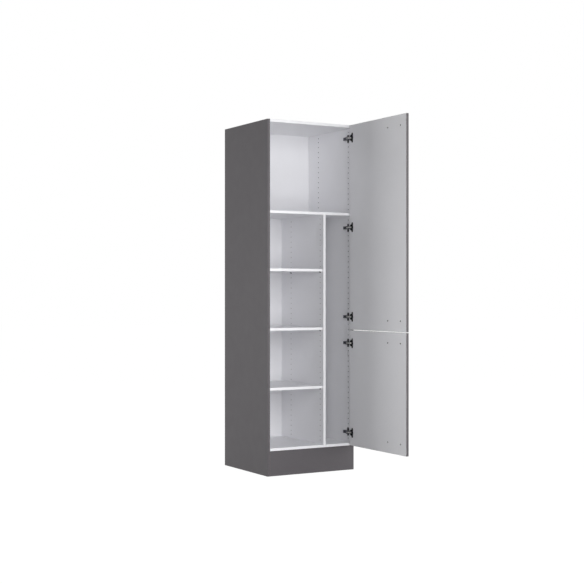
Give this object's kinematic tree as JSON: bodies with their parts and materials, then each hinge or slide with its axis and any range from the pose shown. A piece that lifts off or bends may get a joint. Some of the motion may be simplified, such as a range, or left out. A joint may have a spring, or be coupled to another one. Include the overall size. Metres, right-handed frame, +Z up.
{
  "type": "utility cabinet",
  "caption": "Tall broom cupboard with a divider, fixed and adjustable shelves, and right-hung doors on concealed four-bar cup hinges, standing open.",
  "frame": {"origin": "on the floor, midway across the carcass, in the plane of the carcass front", "axes": "+Z up, +X to the hinge side, +Y back to the wall"},
  "size_m": [0.6105, 1.1558, 2.1],
  "materials": {
    "grey_melamine": "matt melamine face",
    "white_melamine": "satin melamine face",
    "beech": "raw turned wood",
    "dark_plastic": "moulded",
    "black_steel": "black plated steel",
    "dark_steel": "dark plated steel",
    "nickel": "bright nickel plate",
    "brushed_handle": "brushed"
  },
  "bodies": {
    "carcass": {"left_side_panel": "grey_melamine", "right_side_panel": "grey_melamine", "top_panel": "white_melamine", "bottom_panel": "white_melamine", "fixed_shelf": "white_melamine", "centre_divider": "white_melamine", "back_panel": "white_melamine", "plinth_panel": "grey_melamine", "adjustable_shelf_1": "white_melamine", "adjustable_shelf_2": "white_melamine", "adjustable_shelf_3": "white_melamine", "shelf_pins": "dark_plastic", "wooden_dowels": "beech", "hinge_plate_screws": "black_steel", "hinge_arm_screws": "dark_steel", "hinge_arm_pins": "nickel", "hinge_1_plate": "black_steel", "hinge_2_plate": "black_steel", "hinge_3_plate": "black_steel", "hinge_4_plate": "black_steel", "hinge_5_plate": "black_steel", "hinge_1_arm": "dark_steel", "hinge_2_arm": "dark_steel", "hinge_3_arm": "dark_steel", "hinge_4_arm": "dark_steel", "hinge_5_arm": "dark_steel"},
    "lower_outer_links": {"hinge_1_outer_link": "nickel", "hinge_2_outer_link": "nickel"},
    "lower_door": {"lower_door_panel": "grey_melamine", "hinge_1_cup": "black_steel", "hinge_2_cup": "black_steel", "lower_cup_pins": "black_steel", "lower_cup_screws": "black_steel", "lower_handle": "brushed_handle", "lower_handle_screws": "black_steel"},
    "lower_inner_links": {"hinge_1_inner_link": "dark_steel", "hinge_2_inner_link": "dark_steel"},
    "upper_outer_links": {"hinge_3_outer_link": "nickel", "hinge_4_outer_link": "nickel", "hinge_5_outer_link": "nickel"},
    "upper_door": {"upper_door_panel": "grey_melamine", "hinge_3_cup": "black_steel", "hinge_4_cup": "black_steel", "hinge_5_cup": "black_steel", "upper_cup_pins": "black_steel", "upper_cup_screws": "black_steel", "upper_handle": "brushed_handle", "upper_handle_screws": "black_steel"},
    "upper_inner_links": {"hinge_3_inner_link": "dark_steel", "hinge_4_inner_link": "dark_steel", "hinge_5_inner_link": "dark_steel"}
  },
  "joints": [
    {"name": "lower_outer_link_turn", "type": "hinge", "parent": "carcass", "child": "lower_outer_links", "pos_m": [0.26664, 0.01416, 0.5], "axis": [0, 0, 1], "range_deg": [-2.43, 43.51]},
    {"name": "lower_door_swing", "type": "hinge", "parent": "lower_outer_links", "child": "lower_door", "pos_m": [0.2693, -0.0145, 0.5], "axis": [0, 0, 1], "range_deg": [-133.5, 7.42]},
    {"name": "lower_inner_link_turn", "type": "hinge", "parent": "lower_door", "child": "lower_inner_links", "pos_m": [0.2691, -0.0209, 0.5], "axis": [0, 0, 1], "range_deg": [-7.01, 126.01]},
    {"name": "upper_outer_link_turn", "type": "hinge", "parent": "carcass", "child": "upper_outer_links", "pos_m": [0.26664, 0.01416, 1.476], "axis": [0, 0, 1], "range_deg": [-2.43, 43.51]},
    {"name": "upper_door_swing", "type": "hinge", "parent": "upper_outer_links", "child": "upper_door", "pos_m": [0.2693, -0.0145, 1.476], "axis": [0, 0, 1], "range_deg": [-133.5, 7.42]},
    {"name": "upper_inner_link_turn", "type": "hinge", "parent": "upper_door", "child": "upper_inner_links", "pos_m": [0.2691, -0.0209, 1.476], "axis": [0, 0, 1], "range_deg": [-7.01, 126.01]}
  ],
  "couplings": [
    {"joint": "lower_outer_link_turn", "follows": "lower_door_swing", "ratio": -0.32584},
    {"joint": "lower_inner_link_turn", "follows": "lower_door_swing", "ratio": -0.94382},
    {"joint": "upper_outer_link_turn", "follows": "upper_door_swing", "ratio": -0.32584},
    {"joint": "upper_inner_link_turn", "follows": "upper_door_swing", "ratio": -0.94382}
  ]
}
